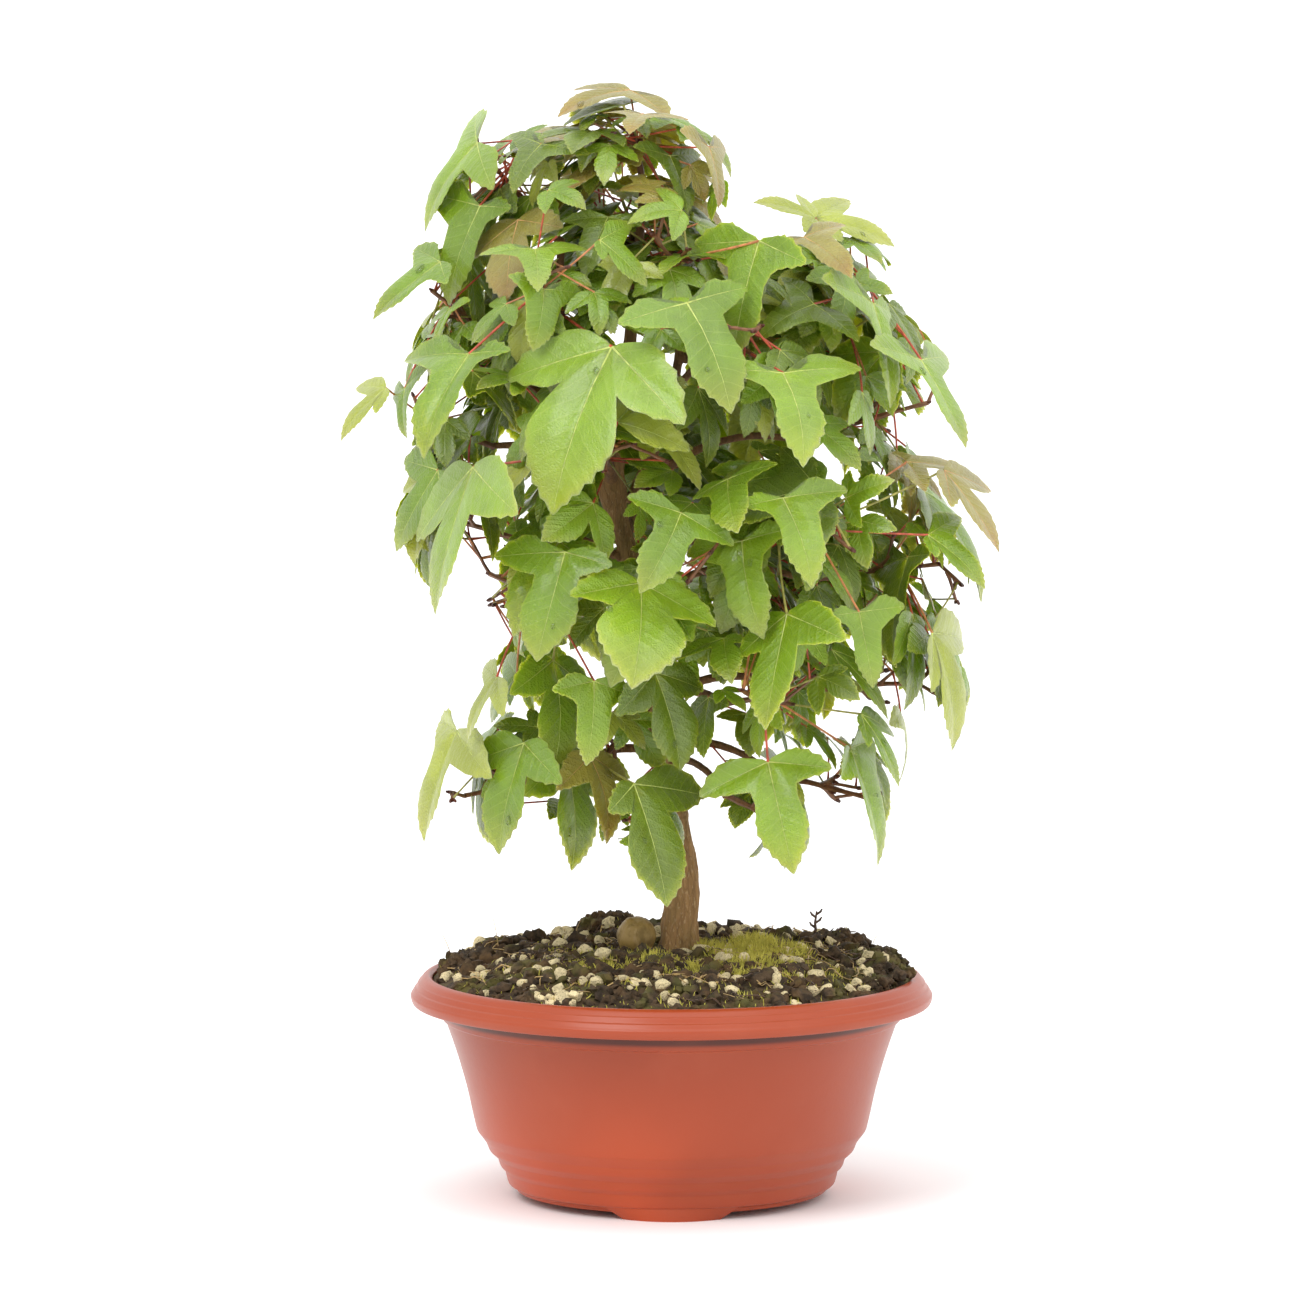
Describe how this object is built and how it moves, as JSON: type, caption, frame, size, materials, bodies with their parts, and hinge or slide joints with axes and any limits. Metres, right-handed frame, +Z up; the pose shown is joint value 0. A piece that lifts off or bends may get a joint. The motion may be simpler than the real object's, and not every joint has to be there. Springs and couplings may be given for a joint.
{
  "type": "potted trident maple bonsai",
  "caption": "Small broadleaf bonsai with a leaning tapered trunk, slim boughs and masses of lobed leaves, growing in soil in a round footed plastic bowl.",
  "frame": {"origin": "on the floor, on the bowl's axis, level with the undersides of its feet", "axes": "+Z up along the bowl's axis, the viewed front faces -Y, +X to the right seen from the front"},
  "size_m": [0.1984, 0.184, 0.3368],
  "materials": {
    "terracotta_plastic": "satin",
    "soil": "matte",
    "bark": "matte",
    "nut_shell": "satin",
    "foliage": "satin"
  },
  "bodies": {
    "root": {"bough_back_left": "bark", "bough_back_middle": "bark", "bough_back_right": "bark", "bough_big_leaf_front": "bark", "bough_front_middle": "bark", "bough_front_right_low": "bark", "bough_left_front": "bark", "bough_left_middle": "bark", "bough_left_tip": "bark", "bough_low_front_right": "bark", "bough_low_left": "bark", "bough_low_right": "bark", "bough_right_front": "bark", "bough_right_lower": "bark", "bough_right_middle": "bark", "bough_right_upper": "bark", "bough_top_back": "bark", "bough_top_left": "bark", "bough_upper_back_left": "bark", "bough_upper_back_right": "bark", "bough_upper_front_left": "bark", "bough_upper_front_right": "bark", "bough_upper_left": "bark", "bough_upper_right": "bark", "leader_left": "bark", "leader_right": "bark", "mass_apex": "foliage", "mass_back_left": "foliage", "mass_back_middle": "foliage", "mass_back_right": "foliage", "mass_big_leaf_front": "foliage", "mass_front_middle": "foliage", "mass_front_right_low": "foliage", "mass_left_front": "foliage", "mass_left_low_middle": "foliage", "mass_left_middle": "foliage", "mass_left_tip": "foliage", "mass_low_front": "foliage", "mass_low_front_right": "foliage", "mass_low_left": "foliage", "mass_low_right": "foliage", "mass_right_front": "foliage", "mass_right_lower": "foliage", "mass_right_middle": "foliage", "mass_right_upper": "foliage", "mass_top_back": "foliage", "mass_top_left": "foliage", "mass_top_middle": "foliage", "mass_upper_back_left": "foliage", "mass_upper_back_right": "foliage", "mass_upper_front_left": "foliage", "mass_upper_front_right": "foliage", "mass_upper_left": "foliage", "mass_upper_right": "foliage", "nut": "nut_shell", "pot": "terracotta_plastic", "soil": "soil", "trunk": "bark"}
  },
  "joints": []
}
